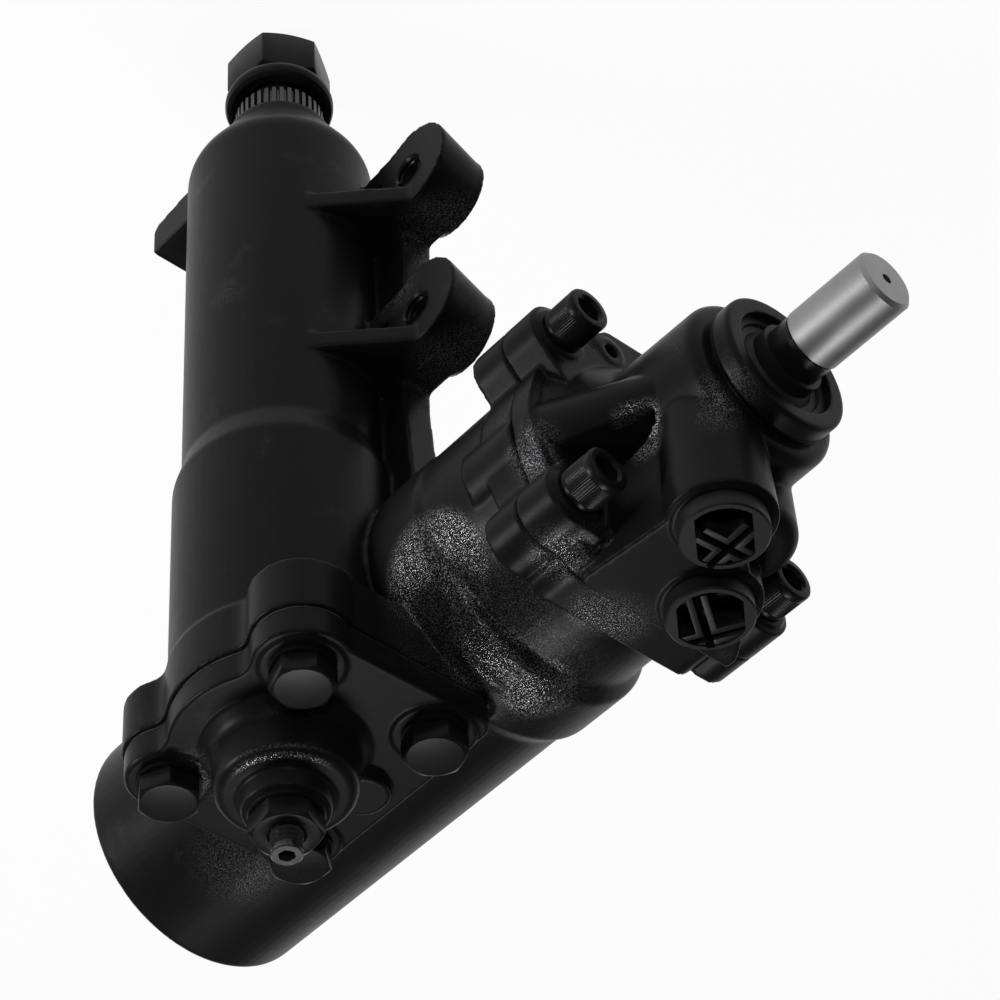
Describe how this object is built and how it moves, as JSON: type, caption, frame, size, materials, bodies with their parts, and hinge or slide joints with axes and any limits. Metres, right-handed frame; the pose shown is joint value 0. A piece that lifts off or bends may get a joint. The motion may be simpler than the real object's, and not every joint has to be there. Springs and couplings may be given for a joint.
{
  "type": "recirculating ball power steering gearbox",
  "caption": "Black cast power steering gear with a worm, recirculating balls, a rack piston and sector shaft, a rotary valve housing, frame ears and a splined output.",
  "frame": {"origin": "on the axis of the sector shaft, level with the axis of the worm", "axes": "+Z along the sector shaft from the output nut to the side cover, +X along the worm out through the input shaft, +Y away from the piston cylinder and from the frame rail"},
  "size_m": [0.3077, 0.1277, 0.3598],
  "materials": {
    "gear_housing": "satin black enamel over rough cast iron, machined bands smoother",
    "side_cover": "satin black enamel over a cast cover with smoother machined pads",
    "side_cover_gasket": "dark composite gasket edge",
    "side_cover_bolts": "black enamel over hexagon bolts",
    "side_cover_bolt_washers": "black enamel over plain washers",
    "sector_shaft": "bare ground and splined steel, lightly oiled",
    "sector_lower_bearing": "drawn steel shell and needles",
    "sector_upper_bearing": "drawn steel shell and needles",
    "cover_bearing": "drawn steel shell and needles",
    "sector_dust_seal": "black seal rubber",
    "sector_oil_seal": "black seal rubber",
    "sector_seal_spacer": "plain steel washer",
    "adjuster_screw": "black enamel over a threaded steel screw",
    "adjuster_lock_nut": "black enamel over a steel nut",
    "output_nut": "black finished steel nut with a faint sheen",
    "output_lock_washer": "black spring washer",
    "rack_piston": "hardened and ground steel",
    "piston_ring": "filled seal ring",
    "recirculating_balls": "polished bearing balls",
    "worm_shaft": "hardened and ground steel",
    "worm_bearing": "ground bearing races and balls",
    "worm_bearing_retainer": "plain steel ring",
    "valve_housing": "satin black enamel over rough cast iron, machined faces smoother",
    "valve_housing_o_ring": "black rubber ring",
    "valve_housing_screws": "black enamel over knurled socket head screws",
    "valve_sleeve": "ground steel sleeve",
    "sleeve_seal_rings": "filled seal rings",
    "input_shaft": "bright ground steel, black enamel on the inner stretch",
    "torsion_bar": "spring steel",
    "input_needle_bearing": "drawn steel bushing",
    "input_seal": "black seal rubber",
    "seal_snap_ring": "dark spring steel ring",
    "input_dust_seal": "black seal rubber with a slight bloom",
    "pressure_port_plug": "black moulded plastic",
    "return_port_plug": "black moulded plastic"
  },
  "bodies": {
    "housing": {"gear_housing": "gear_housing", "side_cover": "side_cover", "side_cover_gasket": "side_cover_gasket", "side_cover_bolts": "side_cover_bolts", "side_cover_bolt_washers": "side_cover_bolt_washers", "sector_lower_bearing": "sector_lower_bearing", "sector_upper_bearing": "sector_upper_bearing", "cover_bearing": "cover_bearing", "sector_dust_seal": "sector_dust_seal", "sector_oil_seal": "sector_oil_seal", "sector_seal_spacer": "sector_seal_spacer", "adjuster_screw": "adjuster_screw", "adjuster_lock_nut": "adjuster_lock_nut", "worm_bearing": "worm_bearing", "worm_bearing_retainer": "worm_bearing_retainer", "valve_housing": "valve_housing", "valve_housing_o_ring": "valve_housing_o_ring", "valve_housing_screws": "valve_housing_screws", "input_needle_bearing": "input_needle_bearing", "input_seal": "input_seal", "seal_snap_ring": "seal_snap_ring", "input_dust_seal": "input_dust_seal", "pressure_port_plug": "pressure_port_plug", "return_port_plug": "return_port_plug"},
    "sector": {"sector_shaft": "sector_shaft", "output_nut": "output_nut", "output_lock_washer": "output_lock_washer"},
    "piston": {"rack_piston": "rack_piston", "piston_ring": "piston_ring", "recirculating_balls": "recirculating_balls"},
    "worm": {"worm_shaft": "worm_shaft", "valve_sleeve": "valve_sleeve", "sleeve_seal_rings": "sleeve_seal_rings", "torsion_bar": "torsion_bar"},
    "input": {"input_shaft": "input_shaft"}
  },
  "joints": [
    {"name": "sector_turn", "type": "hinge", "parent": "housing", "child": "sector", "pos_m": [0, 0, 0], "axis": [0, 0, 1], "range_deg": [-42, 42]},
    {"name": "piston_slide", "type": "slide", "parent": "housing", "child": "piston", "axis": [1, 0, 0], "range_m": [-0.0187, 0.0187]},
    {"name": "worm_turn", "type": "hinge", "parent": "housing", "child": "worm", "pos_m": [0, -0.047, 0], "axis": [1, 0, 0], "range_deg": [-612, 612]},
    {"name": "input_twist", "type": "hinge", "parent": "worm", "child": "input", "pos_m": [0.15, -0.047, 0], "axis": [1, 0, 0], "range_deg": [-4, 4], "stiffness_Nm_per_rad": 40}
  ],
  "couplings": [
    {"joint": "piston_slide", "follows": "sector_turn", "m_per_rad": 0.025},
    {"joint": "worm_turn", "follows": "sector_turn", "ratio": -14.28}
  ]
}
